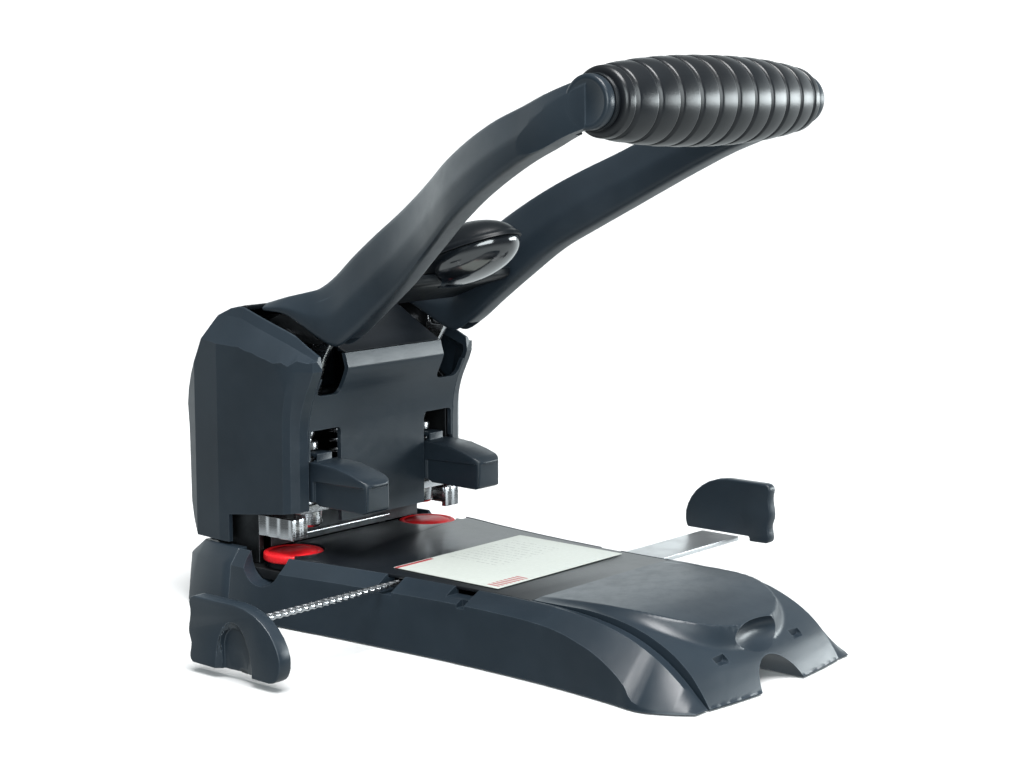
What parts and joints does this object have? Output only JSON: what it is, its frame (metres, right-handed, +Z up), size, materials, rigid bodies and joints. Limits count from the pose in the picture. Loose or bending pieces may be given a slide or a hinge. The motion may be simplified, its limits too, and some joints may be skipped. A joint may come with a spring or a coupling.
{
  "type": "heavy-duty hole punch",
  "caption": "Heavy-duty desk hole punch with a splayed two-arm lever and ribbed grip, red cutting discs, sliding side guides and a pull-out chip drawer in the base.",
  "frame": {"origin": "on the standing surface, midway between the two punches", "axes": "+X across to the right-hand punch, +Y to the back, +Z up; the drawer opens towards -Y"},
  "size_m": [0.2818, 0.3158, 0.2691],
  "materials": {
    "slate_plastic": "satin dark slate moulding",
    "black_plastic": "matte black moulding",
    "gloss_black": "glossy black moulding",
    "rubber": "soft black",
    "steel": "bright steel",
    "dark_steel": "black-oxide pressed steel",
    "aluminium": "satin anodised",
    "red_plastic": "red cutting disc",
    "paper": "matte pale sheet"
  },
  "bodies": {
    "base": {"base_shell": "slate_plastic", "rear_base_cover": "slate_plastic", "head_cover_front": "slate_plastic", "head_cover_rear": "slate_plastic", "head_cover_left": "slate_plastic", "head_cover_right": "slate_plastic", "head_cover_top": "black_plastic", "rod_clamp": "black_plastic", "bar_clamp": "black_plastic", "disc_seat_left": "black_plastic", "disc_seat_right": "black_plastic", "deck_cover": "gloss_black", "base_mat": "rubber", "rear_foot": "rubber", "guide_plate": "steel", "back_stop": "dark_steel", "spacer_rod": "dark_steel", "pivot_axle": "steel", "frame_plate_outer_left": "dark_steel", "frame_plate_outer_right": "dark_steel", "guide_bush_left": "steel", "guide_bush_right": "steel", "return_spring_left": "steel", "return_spring_right": "steel", "axle_clip_left": "steel", "axle_clip_right": "steel", "head_screw_left": "steel", "head_screw_right": "steel", "chassis_plate": "dark_steel", "frame_back_plate": "dark_steel", "frame_plate_inner_left": "dark_steel", "frame_plate_inner_right": "dark_steel", "label_sheet": "paper"},
    "handle": {"handle_arm_left": "slate_plastic", "handle_arm_right": "slate_plastic", "lever_plate_left": "dark_steel", "lever_plate_right": "dark_steel", "crank_pin_left": "steel", "crank_pin_right": "steel", "handle_web": "black_plastic", "dome_base": "gloss_black", "dome_cap": "black_plastic", "grip_core": "steel", "grip_sleeve": "rubber", "grip_collar_left": "black_plastic", "grip_collar_right": "black_plastic"},
    "press": {"press_beam": "steel", "press_yoke_left": "steel", "press_yoke_right": "steel", "punch_left": "steel", "punch_right": "steel"},
    "lever_left": {"release_lever_left": "slate_plastic"},
    "lever_right": {"release_lever_right": "slate_plastic"},
    "drawer": {"chip_tray": "slate_plastic"},
    "side_guide_left": {"guide_rod_left": "steel", "guide_blade_left": "slate_plastic"},
    "side_guide_right": {"guide_bar_right": "aluminium", "guide_blade_right": "slate_plastic"},
    "disc_left": {"cutting_disc_left": "red_plastic"},
    "disc_right": {"cutting_disc_right": "red_plastic"}
  },
  "joints": [
    {"name": "handle_swing", "type": "hinge", "parent": "base", "child": "handle", "pos_m": [0, 0.012, 0.134], "axis": [1, 0, 0], "range_deg": [0, 36], "stiffness_Nm_per_rad": 3, "springref_deg": -28.65},
    {"name": "press_slide", "type": "slide", "parent": "base", "child": "press", "axis": [0, 0, -1], "range_m": [0, 0.0167], "deforming": ["return_spring_left", "return_spring_right"]},
    {"name": "release_left", "type": "slide", "parent": "press", "child": "lever_left", "axis": [0, -1, 0], "range_m": [0, 0.009]},
    {"name": "release_right", "type": "slide", "parent": "press", "child": "lever_right", "axis": [0, -1, 0], "range_m": [0, 0.009]},
    {"name": "drawer_slide", "type": "slide", "parent": "base", "child": "drawer", "axis": [0, -1, 0], "range_m": [0, 0.15]},
    {"name": "guide_left_slide", "type": "slide", "parent": "base", "child": "side_guide_left", "axis": [1, 0, 0], "range_m": [-0.014, 0.068]},
    {"name": "guide_right_slide", "type": "slide", "parent": "base", "child": "side_guide_right", "axis": [1, 0, 0], "range_m": [-0.055, 0.018]},
    {"name": "disc_left_turn", "type": "hinge", "parent": "base", "child": "disc_left", "pos_m": [-0.048, 0.002, 0.0295], "axis": [0, 0, 1], "continuous": true},
    {"name": "disc_right_turn", "type": "hinge", "parent": "base", "child": "disc_right", "pos_m": [0.048, 0.002, 0.0295], "axis": [0, 0, 1], "continuous": true}
  ],
  "couplings": [
    {"joint": "press_slide", "follows": "handle_swing", "m_per_rad": 0.02641}
  ]
}
